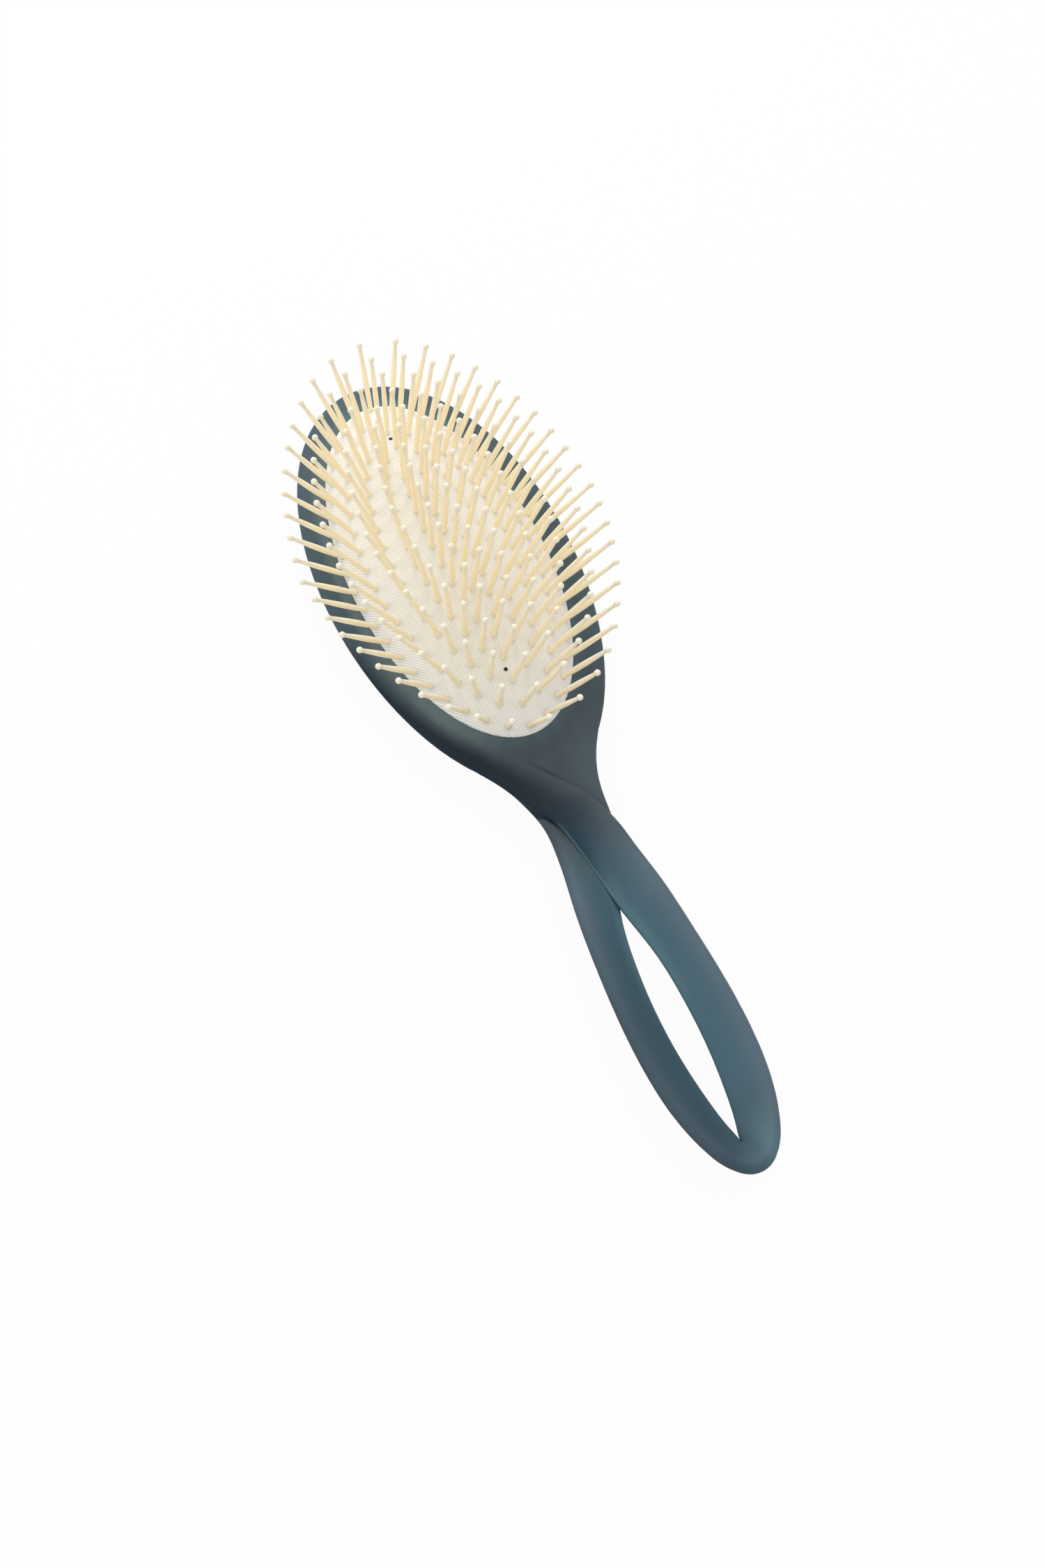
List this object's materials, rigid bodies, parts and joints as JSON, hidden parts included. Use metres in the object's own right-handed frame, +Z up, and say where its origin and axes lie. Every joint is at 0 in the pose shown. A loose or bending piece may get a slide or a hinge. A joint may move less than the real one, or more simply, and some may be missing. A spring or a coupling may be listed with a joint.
{
  "type": "hair brush",
  "caption": "Oval pin brush: one moulded frame with a looped handle of two crossing ribbons, a domed rubber air cushion and rings of ball-tipped pins.",
  "frame": {"origin": "centre of the bounding box, on the surface that the brush lies on with its pins up", "axes": "+Y from the handle to the head's tip, +X to the right seen from above the pins, +Z up along the pins"},
  "size_m": [0.0808, 0.2374, 0.0426],
  "materials": {
    "frame": "frosted satin",
    "cushion": "matt, finely woven",
    "pins": "satin"
  },
  "bodies": {
    "root": {"cushion": "cushion", "frame": "frame", "pins_centre_row": "pins", "pins_ring_1_handle_end": "pins", "pins_ring_1_left": "pins", "pins_ring_1_right": "pins", "pins_ring_1_tip": "pins", "pins_ring_2_handle_end": "pins", "pins_ring_2_left": "pins", "pins_ring_2_right": "pins", "pins_ring_2_tip": "pins", "pins_ring_3_handle_end": "pins", "pins_ring_3_left": "pins", "pins_ring_3_right": "pins", "pins_ring_3_tip": "pins", "pins_ring_4_handle_end": "pins", "pins_ring_4_left": "pins", "pins_ring_4_right": "pins", "pins_ring_4_tip": "pins", "pins_ring_5_handle_end": "pins", "pins_ring_5_left": "pins", "pins_ring_5_right": "pins", "pins_ring_5_tip": "pins"}
  },
  "joints": []
}
